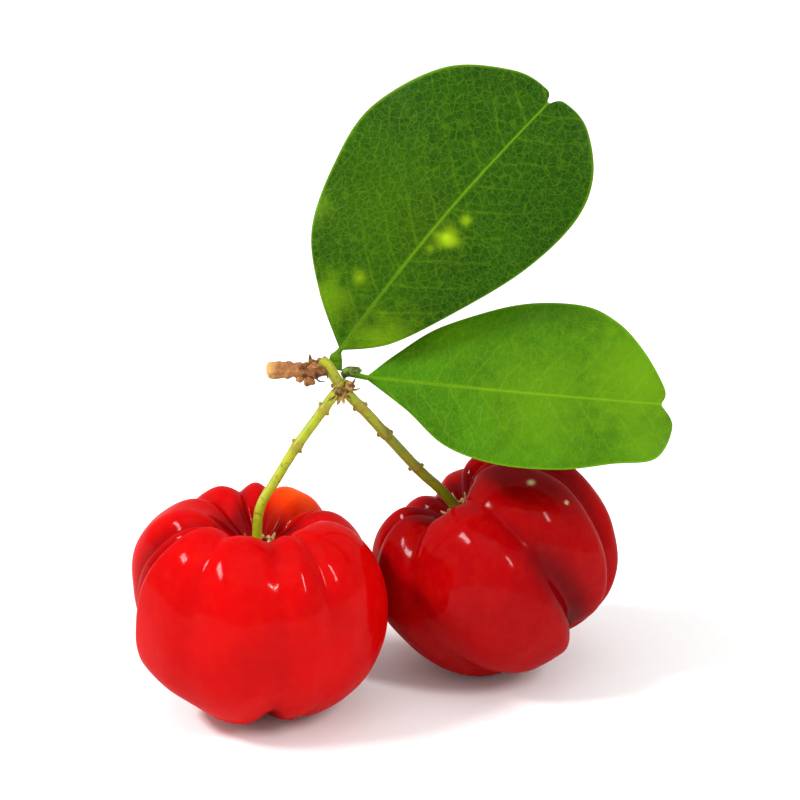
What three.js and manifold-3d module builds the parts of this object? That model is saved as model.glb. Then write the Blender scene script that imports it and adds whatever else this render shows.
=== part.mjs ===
// Acerola sprig: two ripe lobed cherries on green stalks, one short woody twig and two leaves.
// Millimetres. X runs right, Y away from the viewer, Z up. The left fruit rests at the origin.
import * as THREE from "three";
import { mergeVertices } from "three/addons/utils/BufferGeometryUtils.js";
import Module from "manifold-3d";

const wasm = await Module();
wasm.setup();

const UP = new THREE.Vector3(0, 0, 1);

// ---------------------------------------------------------------- helpers

/** A point from three numbers. */
function at([x, y, z]) {
  return new THREE.Vector3(x, y, z);
}

/** Moves every vertex of a closed geometry to the point that place(vertex) returns. */
function mapVertices(geometry, place) {
  const position = geometry.attributes.position;
  const vertex = new THREE.Vector3();
  for (let i = 0; i < position.count; i += 1) {
    vertex.fromBufferAttribute(position, i);
    const moved = place(vertex);
    position.setXYZ(i, moved.x, moved.y, moved.z);
  }
  geometry.deleteAttribute("uv");
  geometry.computeVertexNormals();
  return geometry;
}

/** The solid a closed geometry encloses. */
function solid(geometry) {
  const bare = geometry.clone();
  bare.deleteAttribute("normal");
  const welded = mergeVertices(bare, 1e-4);
  const mesh = new wasm.Mesh({
    numProp: 3,
    vertProperties: Float32Array.from(welded.attributes.position.array),
    triVerts: Uint32Array.from(welded.index.array),
  });
  return new wasm.Manifold(mesh);
}

/** Joins closed geometries that overlap into one closed geometry. */
function join(...geometries) {
  const joined = geometries.map(solid).reduce((whole, piece) => whole.add(piece));
  const mesh = joined.getMesh();
  const geometry = new THREE.BufferGeometry();
  geometry.setAttribute("position", new THREE.BufferAttribute(mesh.vertProperties, 3));
  geometry.setIndex(new THREE.BufferAttribute(mesh.triVerts, 1));
  geometry.computeVertexNormals();
  return geometry;
}

/** Value at t of a smooth ramp through [t, value] stations. */
function ramp(stations, t) {
  for (let i = 1; i < stations.length; i += 1) {
    const [start, low] = stations[i - 1];
    const [end, high] = stations[i];
    if (t <= end) {
      return THREE.MathUtils.lerp(low, high, THREE.MathUtils.smoothstep(t, start, end));
    }
  }
  return stations[stations.length - 1][1];
}

// ---------------------------------------------------------------- fruit

const FRUIT_COLUMNS = 72;
const FRUIT_ROWS = 36;
const FURROW_SOFTNESS = 0.12;
const FURROW_STATIONS = [0.15, 0.35, 0.6, 0.85];

// Each furrow: azimuth seen from above the stem, half-widths towards smaller and larger azimuths
// in degrees, its depth in mm at four stations from the stem to the base, and the drift of its
// azimuth in degrees on the way down. Swells are broad lobes, or hollows where negative.
const LEFT_FRUIT = {
  radius: 12.9,
  halfHeight: 11.2,
  fullness: 0.84,
  taper: 0.04,
  hollowDepth: 5.6,
  hollowReach: 4.4,
  axis: new THREE.Vector3(0.03, 0, 1),
  centre: new THREE.Vector3(-0.1, 0, 10.75),
  furrows: [
    { azimuth: -77, before: 22, after: 20, depths: [0.9, 0.45, 0.65, 1.5], drift: 0 },
    { azimuth: -163, before: 22, after: 9, depths: [0.9, 1.6, 1.9, 1.8], drift: -40 },
    { azimuth: -179, before: 18, after: 9, depths: [0.9, 1.3, 1.3, 0.9], drift: -50 },
    { azimuth: 136, before: 16, after: 16, depths: [0.9, 0.8, 0.6, 0.5], drift: 0 },
    { azimuth: 106, before: 14, after: 16, depths: [1.1, 0.9, 0.7, 0.8], drift: 0 },
    { azimuth: 84, before: 14, after: 14, depths: [1.0, 0.8, 0.6, 0.6], drift: 0 },
    { azimuth: 48, before: 20, after: 12, depths: [1.3, 1.1, 0.7, 0.9], drift: 0 },
    { azimuth: 10, before: 16, after: 22, depths: [0.9, 0.9, 0.6, 0.8], drift: 10 },
    { azimuth: -54, before: 12, after: 14, depths: [0.5, 0.6, 0.3, 0.4], drift: 0 },
    { azimuth: -119, before: 16, after: 14, depths: [0.5, 0.65, 0.15, 0], drift: 0 },
  ],
  swells: [
    { azimuth: -165, reach: 60, heights: [0, 0, -0.15, -1.5] },
    { azimuth: 30, reach: 60, heights: [-1.4, -1.1, 0, 0] },
    { azimuth: 150, reach: 50, heights: [-0.5, -0.2, 0, 0] },
  ],
};

const RIGHT_FRUIT = {
  radius: 12.3,
  halfHeight: 10.2,
  fullness: 0.86,
  taper: 0.03,
  hollowDepth: 3.6,
  hollowReach: 2.9,
  axis: new THREE.Vector3(-0.6, -0.05, 0.8),
  centre: new THREE.Vector3(23.8, 9.2, 11.1),
  furrows: [
    { azimuth: -58, before: 22, after: 26, depths: [0.6, 1.3, 2.4, 2.6], drift: 0 },
    { azimuth: -10, before: 18, after: 12, depths: [0.7, 1.0, 1.4, 1.2], drift: -50 },
    { azimuth: 28, before: 20, after: 18, depths: [0.9, 0.8, 0.8, 0.8], drift: 0 },
    { azimuth: 70, before: 18, after: 20, depths: [1.0, 0.9, 0.8, 0.8], drift: 0 },
    { azimuth: 112, before: 20, after: 16, depths: [1.0, 0.8, 0.6, 0.7], drift: 0 },
    { azimuth: 150, before: 16, after: 16, depths: [1.0, 0.8, 0.6, 0.7], drift: 0 },
    { azimuth: -174, before: 18, after: 16, depths: [0.9, 0.7, 0.5, 0.6], drift: 0 },
    { azimuth: -129, before: 20, after: 20, depths: [0.7, 0.5, 0.8, 1.0], drift: 0 },
  ],
  swells: [
    { azimuth: 95, reach: 60, heights: [-0.9, -0.7, 0, 0] },
    { azimuth: -176, reach: 50, heights: [1.2, 0.8, -0.4, -0.5] },
    { azimuth: 0, reach: 60, heights: [0, -0.3, -0.4, 0] },
  ],
};

/** Signed turn in degrees from centre to azimuth. */
function turnBetween(azimuth, centre) {
  return THREE.MathUtils.euclideanModulo(azimuth - centre + 180, 360) - 180;
}

/** A value given at the four stations, read at t. */
function stationed(values, t) {
  const stations = values.map((value, i) => [FURROW_STATIONS[i], value]);
  return ramp(stations, Math.max(t, FURROW_STATIONS[0]));
}

/** How far the skin lies below the round body in one direction. */
function skinInset(fruit, polar, azimuth) {
  const t = polar / Math.PI;
  let depth = 0;
  for (const furrow of fruit.furrows) {
    const turn = turnBetween(azimuth, furrow.azimuth + furrow.drift * (t - 0.5));
    const offset = turn / (turn < 0 ? furrow.before : furrow.after);
    const distance = Math.hypot(offset, FURROW_SOFTNESS) - FURROW_SOFTNESS;
    depth += stationed(furrow.depths, t) * (1 - Math.min(1, distance)) ** 2;
  }
  for (const swell of fruit.swells) {
    const share = Math.min(1, Math.abs(turnBetween(azimuth, swell.azimuth)) / swell.reach);
    depth -= stationed(swell.heights, t) * (1 - share ** 2) ** 2;
  }
  return depth * THREE.MathUtils.smoothstep(Math.sin(polar), 0, 0.3);
}

/** A point on the skin, measured from the middle of the fruit with its stem end straight up. */
function skinPoint(fruit, polar, azimuth) {
  const sine = Math.sin(polar);
  const cosine = Math.cos(polar);
  let out = fruit.radius * sine ** fruit.fullness * (1 + fruit.taper * cosine);
  let up = fruit.halfHeight * Math.sign(cosine) * Math.abs(cosine) ** fruit.fullness;
  if (cosine > 0) {
    up -= fruit.hollowDepth * Math.exp(-((out / fruit.hollowReach) ** 2));
  }
  const inset = skinInset(fruit, polar, azimuth);
  out -= inset * sine;
  up -= inset * cosine;
  const turn = THREE.MathUtils.degToRad(azimuth);
  return new THREE.Vector3(out * Math.cos(turn), out * Math.sin(turn), up);
}

/** Turns a point measured in the fruit's own frame into the sprig's frame. */
function placeOnFruit(fruit, point) {
  const lean = new THREE.Quaternion().setFromUnitVectors(UP, fruit.axis.clone().normalize());
  return point.clone().applyQuaternion(lean).add(fruit.centre);
}

/** The whole fruit, with a small flat spot where it stands on the ground plane. */
function fruitGeometry(fruit) {
  const ball = new THREE.SphereGeometry(1, FRUIT_COLUMNS, FRUIT_ROWS);
  return mapVertices(ball, (vertex) => {
    const polar = Math.acos(THREE.MathUtils.clamp(vertex.y, -1, 1));
    const azimuth = THREE.MathUtils.radToDeg(Math.atan2(-vertex.z, vertex.x));
    const point = placeOnFruit(fruit, skinPoint(fruit, Math.min(polar, Math.PI), azimuth));
    point.z = Math.max(point.z, 0);
    return point;
  });
}

// ---------------------------------------------------------------- stalks

/** A round stalk along a curve; girth(t, turn) is its radius in mm at t along and turn around. */
function stalkGeometry(points, girth, sides, steps) {
  const curve = new THREE.CatmullRomCurve3(points.map(at));
  const rod = new THREE.CylinderGeometry(1, 1, 1, sides, steps);
  return mapVertices(rod, (vertex) => {
    const t = vertex.y + 0.5;
    const along = curve.getTangentAt(t);
    const side = new THREE.Vector3(0, -1, 0).cross(along).normalize();
    const front = side.clone().cross(along);
    const radius = girth(t, Math.atan2(vertex.z, vertex.x));
    return curve
      .getPointAt(t)
      .addScaledVector(side, vertex.x * radius)
      .addScaledVector(front, vertex.z * radius);
  });
}

/** Girth of a stalk with soft rings where small bracts once sat. */
function ringedGirth(ends, rings) {
  return (t) => {
    let radius = ramp(ends, t);
    for (const [place, rise] of rings) {
      radius += rise * Math.exp(-(((t - place) / 0.02) ** 2));
    }
    return radius;
  };
}

// ---------------------------------------------------------------- leaves

const LEAF_ROWS = 26;
const LEAF_COLUMNS = 12;

// Margins run from the petiole to the notch at the tip, as [across, along] in the leaf's plane.
const UPPER_LEAF = {
  base: new THREE.Vector3(8.08, 5.6, 35.3),
  tip: new THREE.Vector3(28.11, 14, 57.46),
  facing: new THREE.Vector3(0, -0.927, 0.375),
  leftMargin: [[-0.3, 0], [-5.2, 2.9], [-9.6, 7.0], [-12.0, 13.2], [-12.8, 20.0], [-9.8, 27.2],
    [-4.6, 31.2], [-1.0, 31.9], [-0.12, 31.0]],
  rightMargin: [[0.3, 0], [3.4, 3.4], [6.0, 9.2], [8.6, 16.8], [9.4, 23.6], [8.0, 28.2],
    [4.4, 31.5], [1.2, 32.0], [0.12, 31.0]],
  veinBow: -0.6,
  fold: 0.06,
  curl: -0.012,
  arch: 0.9,
  ripple: 0.35,
  petiole: [[7.55, 5.7, 33.9], [7.7, 5.7, 34.5]],
  petioleRadius: 0.72,
};

const LOWER_LEAF = {
  base: new THREE.Vector3(10.74, 5, 32.5),
  tip: new THREE.Vector3(39.1, 3, 30.5),
  facing: new THREE.Vector3(0, -0.72, 0.69),
  leftMargin: [[-0.3, 0], [-2.8, 2.6], [-5.9, 6.6], [-8.5, 13.0], [-9.5, 19.6], [-8.1, 23.4],
    [-5.2, 26.4], [-1.6, 28.6], [-0.12, 28.4]],
  rightMargin: [[0.3, 0], [3.1, 4.0], [6.4, 8.0], [8.0, 13.4], [7.8, 19.0], [6.7, 24.0],
    [5.6, 28.2], [2.2, 29.6], [0.12, 28.4]],
  veinBow: 0.4,
  fold: -0.05,
  curl: 0.004,
  arch: 0.7,
  ripple: 0.25,
  petiole: [[8.75, 5.6, 32.75], [9.7, 5.3, 32.6]],
  petioleRadius: 0.36,
};

const BLADE_THICKNESS = 0.45;

/** Turns leaf-plane coordinates into the sprig's frame. */
function placeOnLeaf(leaf, across, along, lift) {
  const lengthwise = leaf.tip.clone().sub(leaf.base).normalize();
  const crosswise = lengthwise.clone().cross(leaf.facing).normalize();
  const outward = crosswise.clone().cross(lengthwise);
  return leaf.base
    .clone()
    .addScaledVector(crosswise, across)
    .addScaledVector(lengthwise, along)
    .addScaledVector(outward, lift);
}

/** How far the blade stands off its own flat plane. */
function bladeLift(leaf, across, t) {
  const arch = leaf.arch * Math.sin(Math.PI * t);
  const ripple = leaf.ripple * Math.sin(5 * Math.PI * t) * (across / 10) ** 2;
  return arch + leaf.fold * Math.abs(across) + leaf.curl * across * across + ripple;
}

/** Midrib position across the leaf at t along it. */
function midribAcross(leaf, t) {
  return leaf.veinBow * Math.sin(Math.PI * t);
}

/** The blade with its midrib and petiole, grown as one. */
function leafGeometry(leaf) {
  const span = leaf.tip.distanceTo(leaf.base);
  const margins = [leaf.leftMargin, leaf.rightMargin].map(
    (points) => new THREE.SplineCurve(points.map(([x, y]) => new THREE.Vector2(x, y))),
  );
  const slab = new THREE.BoxGeometry(1, 1, 1, LEAF_COLUMNS, LEAF_ROWS, 1);
  const blade = mapVertices(slab, (vertex) => {
    const t = vertex.y + 0.5;
    const reach = Math.abs(vertex.x) * 2;
    const edge = margins[vertex.x < 0 ? 0 : 1].getPoint(t);
    const middle = new THREE.Vector2(midribAcross(leaf, t), t * leaf.leftMargin.at(-1)[1]);
    const spot = middle.lerp(edge, reach);
    const thickness = vertex.z * BLADE_THICKNESS;
    return placeOnLeaf(leaf, spot.x, spot.y, bladeLift(leaf, spot.x, spot.y / span) + thickness);
  });
  const ribPoints = [0.02, 0.25, 0.5, 0.75, 0.92].map((t) => {
    const across = midribAcross(leaf, t);
    return placeOnLeaf(leaf, across, t * span, bladeLift(leaf, across, t)).toArray();
  });
  const girth = ringedGirth([[0, leaf.petioleRadius], [0.12, 0.36], [1, 0.24]], []);
  const rib = stalkGeometry([...leaf.petiole, ...ribPoints], girth, 8, 30);
  return join(blade, rib);
}

// ---------------------------------------------------------------- twig, fork and calyx

/** Bark girth: a swollen cut end, a waist, and a knuckle of old scars by the fork. */
function barkGirth(t, turn) {
  const swell = ramp([[0, 0.62], [0.08, 0.86], [0.3, 0.84], [0.5, 0.72], [0.62, 0.78], [1, 0.7]], t);
  const knuckle = 0.3 * Math.exp(-(((t - 0.8) / 0.1) ** 2)) * (0.6 + 0.4 * Math.cos(2 * turn));
  return swell + knuckle + 0.04 * Math.sin(3 * turn + 14 * t);
}

/** A dried calyx: a thin collar round the stalk with five short sepals turned outwards. */
function calyxGeometry(fruit, height, radius) {
  const collar = new THREE.TorusGeometry(1, 0.3, 6, 40);
  return mapVertices(collar, (vertex) => {
    const turn = Math.atan2(vertex.y, vertex.x);
    const sepal = Math.max(0, Math.cos(5 * turn)) ** 2;
    const reach = Math.hypot(vertex.x, vertex.y);
    const out = radius * (reach + 0.45 * sepal * Math.max(0, reach - 0.9));
    const up = height + vertex.z * (0.8 + 0.5 * sepal) + 0.3 * sepal;
    const point = new THREE.Vector3(out * Math.cos(turn), out * Math.sin(turn), up);
    return placeOnFruit(fruit, point);
  });
}

/** A small knob of dried bracts where the fruit stalks part. */
function forkGeometry(centre, radii) {
  const knob = new THREE.SphereGeometry(1, 20, 12);
  return mapVertices(knob, (vertex) => {
    const rough = 1 + 0.1 * Math.sin(4 * Math.atan2(vertex.z, vertex.x)) * (1 - vertex.y ** 2);
    return vertex.multiplyScalar(rough).multiply(radii).add(centre);
  });
}

// ---------------------------------------------------------------- the sprig

const sprig = new THREE.Group();
sprig.name = "acerola_sprig";

/** Adds one named piece in its own colour. */
function add(name, geometry, color, roughness) {
  const material = new THREE.MeshStandardMaterial({ color, roughness, metalness: 0 });
  const mesh = new THREE.Mesh(geometry, material);
  mesh.name = name;
  sprig.add(mesh);
}

const LEFT_STALK = [[7.15, 4, 30.75], [5.56, 3.4, 28.6], [3.72, 2.6, 26.2], [1.99, 1.8, 23.5],
  [0.35, 0.8, 20.9], [-0.05, 0.3, 18.4], [0.05, 0.15, 17.0]];
const RIGHT_STALK = [[9.05, 4.1, 30.85], [10.6, 4.6, 28.9], [12.43, 5.6, 26.3], [14.3, 7.0, 23.5],
  [16.0, 7.9, 21.2], [17.7, 8.5, 19.3], [19.5, 8.8, 17.0]];
const PEDUNCLE = [[6.6, 4.1, 34.3], [7.2, 3.9, 33.5], [7.75, 3.9, 32.75]];
const TWIG = [[0.9, 5.0, 33.2], [2.6, 5.0, 33.3], [4.4, 4.9, 33.3], [5.7, 4.8, 33.5]];
const BUD = [[8.75, 4.5, 33.35], [9.4, 4.4, 33.5], [10.1, 4.3, 33.55]];

add("fruit_left", fruitGeometry(LEFT_FRUIT), 0xe0040c, 0.18);
add("fruit_right", fruitGeometry(RIGHT_FRUIT), 0xc4040f, 0.18);
add("calyx_left", calyxGeometry(LEFT_FRUIT, 6.65, 1.15), 0x8a5a33, 0.8);
add("calyx_right", calyxGeometry(RIGHT_FRUIT, 7.55, 1.1), 0x8a5a33, 0.8);
add("pedicel_left",
  stalkGeometry(LEFT_STALK, ringedGirth([[0, 0.5], [1, 0.45]], [[0.12, 0.1], [0.36, 0.12]]), 10, 24),
  0xa3ab12, 0.5);
add("pedicel_right",
  stalkGeometry(RIGHT_STALK, ringedGirth([[0, 0.5], [1, 0.5]], [[0.14, 0.12], [0.36, 0.12]]), 10, 24),
  0x8a8f1a, 0.5);
add("peduncle",
  stalkGeometry(PEDUNCLE, ringedGirth([[0, 0.55], [1, 0.5]], []), 10, 6),
  0x8f9c1c, 0.5);
add("fork", forkGeometry(new THREE.Vector3(8.1, 4, 31.6), new THREE.Vector3(0.72, 0.65, 0.6)),
  0x7a5526, 0.8);
add("twig", stalkGeometry(TWIG, barkGirth, 16, 22), 0x9c6b3f, 0.9);
add("leaf_upper", leafGeometry(UPPER_LEAF), 0x2f7a0c, 0.4);
add("leaf_lower", leafGeometry(LOWER_LEAF), 0x559a0c, 0.4);
add("bud",
  stalkGeometry(BUD, ringedGirth([[0, 0.3], [0.4, 0.42], [1, 0.12]], []), 10, 8),
  0x4f6a14, 0.6);

export default sprig;
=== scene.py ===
"""Acerola sprig: two ripe lobed cherries, their green stalks, a woody twig and two notched leaves."""

import math

import bmesh
import bpy
from bpy.props import FloatProperty, FloatVectorProperty, IntProperty, PointerProperty
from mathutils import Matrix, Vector, noise


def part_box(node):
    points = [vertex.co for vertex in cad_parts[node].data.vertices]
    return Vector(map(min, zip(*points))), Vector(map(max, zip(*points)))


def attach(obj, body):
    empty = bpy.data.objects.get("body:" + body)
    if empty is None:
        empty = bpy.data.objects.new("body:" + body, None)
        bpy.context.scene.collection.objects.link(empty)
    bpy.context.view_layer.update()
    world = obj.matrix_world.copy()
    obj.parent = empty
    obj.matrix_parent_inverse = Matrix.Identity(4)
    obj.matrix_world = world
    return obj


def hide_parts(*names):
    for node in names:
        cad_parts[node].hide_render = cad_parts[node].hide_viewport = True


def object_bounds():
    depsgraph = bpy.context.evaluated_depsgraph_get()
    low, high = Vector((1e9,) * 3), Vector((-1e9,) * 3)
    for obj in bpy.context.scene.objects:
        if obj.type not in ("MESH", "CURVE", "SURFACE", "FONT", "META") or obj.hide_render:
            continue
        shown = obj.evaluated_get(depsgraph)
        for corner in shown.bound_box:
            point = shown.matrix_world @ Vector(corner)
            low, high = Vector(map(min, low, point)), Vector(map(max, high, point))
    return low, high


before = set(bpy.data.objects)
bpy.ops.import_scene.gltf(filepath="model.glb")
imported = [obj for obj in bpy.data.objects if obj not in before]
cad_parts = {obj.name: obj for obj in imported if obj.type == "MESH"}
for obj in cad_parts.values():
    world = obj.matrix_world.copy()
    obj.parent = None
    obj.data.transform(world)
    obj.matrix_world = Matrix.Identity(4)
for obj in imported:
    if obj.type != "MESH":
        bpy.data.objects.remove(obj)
cad_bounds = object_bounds()

bl_info = {
    "name": "Acerola Sprig",
    "version": (1, 0, 0),
    "blender": (4, 5, 0),
    "location": "View3D > Sidebar > Acerola",
    "description": "Models a picked sprig of ripe acerola with its leaves",
    "category": "Add Mesh",
}

MM = 0.001
UP = Vector((0.0, 0.0, 1.0))

# ---------------------------------------------------------------- colours


def linear(code):
    """An sRGB hex colour such as "#df0005" as a linear RGBA tuple."""
    channels = [int(code[i:i + 2], 16) / 255 for i in (1, 3, 5)]
    return tuple(c / 12.92 if c <= 0.04045 else ((c + 0.055) / 1.055) ** 2.4 for c in channels) + (1.0,)


# ---------------------------------------------------------------- settings


class FruitSettings(bpy.types.PropertyGroup):
    """Sizes and colours of the fruit."""

    columns: IntProperty(name="Columns", description="Faces round each fruit", default=288, min=24)
    rows: IntProperty(name="Rows", description="Faces from stem to base", default=176, min=16)
    dimple: FloatProperty(
        name="Dimples", description="Height of the soft dents in the skin", default=0.13 * MM, unit="LENGTH"
    )
    ripe: FloatVectorProperty(
        name="Ripe", description="Colour of ripe skin", subtype="COLOR", size=4, default=linear("#ba0103")
    )
    # Dark red used as painted shade in the furrows, the stem hollow and over the right fruit's skin, and a
    # little in the random clouding.
    shade: FloatVectorProperty(
        name="Shade", description="Darker red of the deep furrows", subtype="COLOR", size=4,
        default=linear("#5c0106"),
    )
    blush: FloatVectorProperty(
        name="Blush", description="Orange of the least ripe lobe", subtype="COLOR", size=4,
        default=linear("#ee4a04"),
    )


class LeafSettings(bpy.types.PropertyGroup):
    """Sizes and colours of the leaves."""

    columns: IntProperty(name="Columns", description="Faces across each blade", default=150, min=12)
    rows: IntProperty(name="Rows", description="Faces along each blade", default=230, min=16)
    thickness: FloatProperty(
        name="Thickness", description="Thickness of the blade", default=0.26 * MM, unit="LENGTH"
    )
    # Green of the upper leaf, darker than the lower leaf's; the code models no leaf age.
    dark: FloatVectorProperty(
        name="Older leaf", description="Green of the older, upper leaf", subtype="COLOR", size=4,
        default=linear("#133d01"),
    )
    # Green of the lower leaf, lighter than the upper leaf's; the code models no leaf age.
    light: FloatVectorProperty(
        name="Younger leaf", description="Green of the younger, lower leaf", subtype="COLOR", size=4,
        default=linear("#336502"),
    )
    vein: FloatVectorProperty(
        name="Veins", description="Pale green of the veins", subtype="COLOR", size=4,
        default=linear("#6e990f"),
    )


class WoodSettings(bpy.types.PropertyGroup):
    """Colours of the stalks, the twig and the dried scales."""

    rind: FloatVectorProperty(
        name="Stalk", description="Yellow green of the fruit stalks", subtype="COLOR", size=4,
        default=linear("#a3a80c"),
    )
    bark: FloatVectorProperty(
        name="Bark", description="Brown of the twig", subtype="COLOR", size=4, default=linear("#8a5830")
    )
    scar: FloatVectorProperty(
        name="Scars", description="Dark brown of old scars and dried scales", subtype="COLOR", size=4,
        default=linear("#55331c"),
    )


class StageSettings(bpy.types.PropertyGroup):
    """Camera and studio card."""

    elevation: FloatProperty(
        name="Elevation", description="Angle that the camera looks down at", default=math.radians(22),
        subtype="ANGLE",
    )
    distance: FloatProperty(
        name="Distance", description="Camera to the middle of the sprig", default=350 * MM, unit="LENGTH"
    )
    lens: FloatProperty(name="Lens", description="Focal length in millimetres", default=163.0)
    card: FloatVectorProperty(
        name="Card", description="Colour of the studio card", subtype="COLOR", size=4,
        default=linear("#f6f6f6"),
    )


# ---------------------------------------------------------------- mesh helpers


def smoothstep(low, high, value):
    """0 below low, 1 above high, and a soft ramp between."""
    share = min(1.0, max(0.0, (value - low) / (high - low)))
    return share * share * (3.0 - 2.0 * share)


def ramp(stations, t):
    """Value at t of a smooth ramp through (t, value) stations."""
    value = stations[0][1]
    for (start, low), (end, high) in zip(stations, stations[1:]):
        if t > start:
            value = low + (high - low) * smoothstep(start, end, t)
    return value


def spline(points, t):
    """Point at t of a smooth curve through a few points."""
    span = min(max(t, 0.0), 1.0) * (len(points) - 1)
    start = min(int(span), len(points) - 2)
    u = span - start
    first = points[max(start - 1, 0)]
    left = points[start]
    right = points[start + 1]
    last = points[min(start + 2, len(points) - 1)]
    return 0.5 * (
        2 * left
        + (right - first) * u
        + (2 * first - 5 * left + 4 * right - last) * u ** 2
        + (3 * left - first - 3 * right + last) * u ** 3
    )


def publish(name, bm, materials, node_names):
    """Turns a bmesh into the finished piece that stands for CAD nodes."""
    mesh = bpy.data.meshes.new(name)
    bm.to_mesh(mesh)
    bm.free()
    mesh.shade_smooth()
    for material in materials:
        mesh.materials.append(material)
    piece = bpy.data.objects.new(name, mesh)
    bpy.context.scene.collection.objects.link(piece)
    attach(piece, "root")
    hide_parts(*node_names)
    return piece


def settle(bm, node):
    """Moves the mesh so that the middle of its box is the middle of the CAD node's box."""
    low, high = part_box(node)
    corners = [[vert.co[axis] for vert in bm.verts] for axis in range(3)]
    middle = Vector([(min(values) + max(values)) / 2 for values in corners])
    bmesh.ops.translate(bm, verts=bm.verts, vec=(low + high) / 2 - middle)


def unit_tube(sides, steps):
    """A closed tube of radius 1 from z 0 to z 1, in rings, as a bmesh of its own."""
    tube = bmesh.new()
    bmesh.ops.create_cone(tube, cap_ends=True, segments=sides, radius1=1.0, radius2=1.0, depth=1.0)
    bmesh.ops.translate(tube, verts=tube.verts, vec=(0.0, 0.0, 0.5))
    uprights = [edge for edge in tube.edges if abs(edge.verts[0].co.z - edge.verts[1].co.z) > 0.5]
    bmesh.ops.subdivide_edges(tube, edges=uprights, cuts=steps - 1, use_grid_fill=True)
    return tube


def absorb(bm, part):
    """Adds a bmesh to another and frees it."""
    mesh = bpy.data.meshes.new("part")
    part.to_mesh(mesh)
    part.free()
    bm.from_mesh(mesh)
    bpy.data.meshes.remove(mesh)


def rod(bm, points, girth, sides, steps, marks=None):
    """A round stalk along points in millimetres; girth(t, turn) is its radius in millimetres.

    marks names the attributes that all its vertices get.
    """
    tube = unit_tube(sides, steps)
    for vert in tube.verts:
        t = vert.co.z
        turn = math.atan2(vert.co.y, vert.co.x)
        radius = math.hypot(vert.co.x, vert.co.y) * girth(t, turn)
        along = (spline(points, t + 0.01) - spline(points, t - 0.01)).normalized()
        side = Vector((0.0, -1.0, 0.0)).cross(along).normalized()
        front = along.cross(side)
        ray = side * math.cos(turn) + front * math.sin(turn)
        vert.co = (spline(points, t) + ray * radius) * MM
    for key, value in (marks or {}).items():
        layer = tube.verts.layers.float.new(key)
        for vert in tube.verts:
            vert[layer] = value
    absorb(bm, tube)


def bract(bm, foot, tip, width, curl=0.25):
    """A tiny pointed scale from foot to tip, in millimetres, cupped along its length."""
    along = tip - foot
    side = along.cross(UP + Vector((0.01, 0.02, 0.0))).normalized()
    front = along.cross(side).normalized()
    tube = unit_tube(10, 7)
    for vert in tube.verts:
        t = min(max(vert.co.z, 0.0), 1.0)
        girth = width * (0.7 + 0.6 * t) * math.sqrt(max(0.02, 1.0 - t ** 2.2))
        offset = side * vert.co.x * girth + front * vert.co.y * girth * 0.4
        bend = front * curl * along.length * math.sin(math.pi * t)
        vert.co = (foot + along * t + bend + offset) * MM
    absorb(bm, tube)


def lump(bm, centre, radii, roughness=0.15, seed=0.0):
    """A small uneven knob, in millimetres."""
    made = bmesh.ops.create_icosphere(bm, subdivisions=3, radius=1.0)["verts"]
    for vert in made:
        swell = 1.0 + roughness * noise.noise(vert.co * 1.7 + Vector((seed, 0.0, 0.0)))
        vert.co = (centre + Vector([a * b for a, b in zip(vert.co * swell, radii)])) * MM


# ---------------------------------------------------------------- material helpers


def new_material(name):
    """A material with an empty node tree but for its output."""
    material = bpy.data.materials.new(name)
    material.use_nodes = True
    tree = material.node_tree
    tree.nodes.clear()
    return material, tree, tree.nodes.new("ShaderNodeOutputMaterial")


def add_node(tree, kind, settings=None, values=None, links=None):
    """Adds one node: settings are its properties, values its sockets, links its incoming wires."""
    made = tree.nodes.new(kind)
    for key, value in (settings or {}).items():
        setattr(made, key, value)
    for key, value in (values or {}).items():
        made.inputs[key].default_value = value
    for key, source in (links or {}).items():
        tree.links.new(source, made.inputs[key])
    return made


def mix(tree, share, first, second, blend="MIX"):
    """Colour between two colours, each a socket or a plain value."""
    made = tree.nodes.new("ShaderNodeMix")
    made.data_type = "RGBA"
    made.blend_type = blend
    for key, value in (("Factor", share), ("A", first), ("B", second)):
        slot = [s for s in made.inputs if s.name == key and s.enabled][0]
        if isinstance(value, bpy.types.NodeSocket):
            tree.links.new(value, slot)
        else:
            slot.default_value = value
    return [s for s in made.outputs if s.enabled][0]


def attribute(tree, name):
    """The shade that a mesh attribute gives."""
    return add_node(tree, "ShaderNodeAttribute", {"attribute_name": name}).outputs["Fac"]


def remap(tree, source, low, high, to_low, to_high):
    """A number moved from one range to another."""
    made = add_node(
        tree, "ShaderNodeMapRange",
        {"interpolation_type": "SMOOTHSTEP"},
        {"From Min": low, "From Max": high, "To Min": to_low, "To Max": to_high},
        {"Value": source},
    )
    return made.outputs["Result"]


def object_point(tree):
    """Position in the piece's own frame."""
    return add_node(tree, "ShaderNodeTexCoord").outputs["Object"]


def speckle(tree, size, detail=2.0, roughness=0.5):
    """Soft noise whose features measure size metres."""
    return add_node(
        tree, "ShaderNodeTexNoise", None,
        {"Scale": 1.0 / size, "Detail": detail, "Roughness": roughness},
        {"Vector": object_point(tree)},
    ).outputs["Fac"]


def cells(tree, size, feature):
    """Distance pattern of irregular cells that measure size metres."""
    return add_node(
        tree, "ShaderNodeTexVoronoi", {"feature": feature},
        {"Scale": 1.0 / size}, {"Vector": object_point(tree)},
    ).outputs["Distance"]


def relief(tree, height, depth, after=None):
    """Bump whose full height is depth metres."""
    links = {"Height": height}
    if after is not None:
        links["Normal"] = after
    bump = add_node(tree, "ShaderNodeBump", None, {"Strength": 1.0, "Distance": depth}, links)
    return bump.outputs["Normal"]


# ---------------------------------------------------------------- materials


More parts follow.
